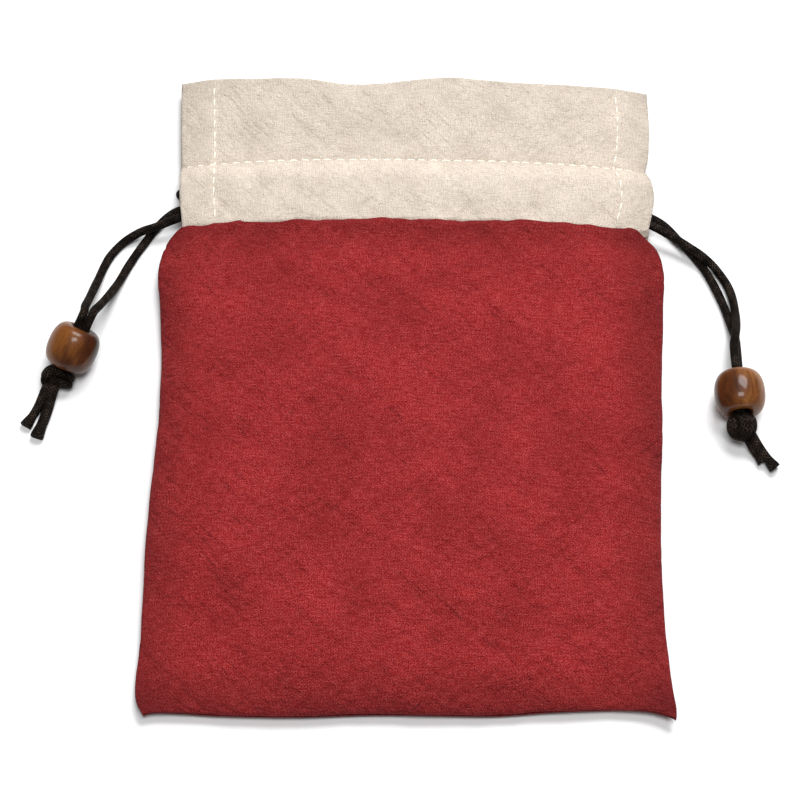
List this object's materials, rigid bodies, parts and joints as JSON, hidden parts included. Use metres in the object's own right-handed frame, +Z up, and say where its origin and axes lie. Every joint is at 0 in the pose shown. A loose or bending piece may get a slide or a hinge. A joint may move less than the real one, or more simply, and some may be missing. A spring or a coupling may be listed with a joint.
{
  "type": "kinchaku drawstring pouch",
  "caption": "Small puffed cloth pouch lying flat, red body with a natural linen band, dark drawcords with round wooden beads.",
  "frame": {"origin": "middle of the pouch's footprint on the surface that it lies on, the cords left out", "axes": "+X to the right across the pouch, +Y from the bottom seam to the mouth, +Z up from the surface it lies on"},
  "size_m": [0.193, 0.1786, 0.014],
  "materials": {
    "red_cloth": "matt crinkled plain weave",
    "linen": "matt natural linen",
    "cord": "braided dark brown cord",
    "wood": "stained and lacquered"
  },
  "bodies": {
    "pouch": {"front_panel": "red_cloth", "back_panel": "red_cloth", "front_band": "linen", "back_band": "linen", "left_cord_run": "cord", "right_cord_run": "cord", "left_strand_front": "cord", "left_strand_back": "cord", "right_strand_front": "cord", "right_strand_back": "cord", "left_knot": "cord", "right_knot": "cord", "left_tail_outer": "cord", "left_tail_inner": "cord", "right_tail_short": "cord", "right_tail_long": "cord"},
    "left_bead": {"left_bead": "wood"},
    "right_bead": {"right_bead": "wood"}
  },
  "joints": [
    {"name": "left_bead_slide", "type": "slide", "parent": "pouch", "child": "left_bead", "axis": [0.4112, 0.7414, 0.5303], "range_m": [0, 0.003]},
    {"name": "right_bead_slide", "type": "slide", "parent": "pouch", "child": "right_bead", "axis": [-0.0499, 0.9988, 0], "range_m": [0, 0.006]}
  ]
}
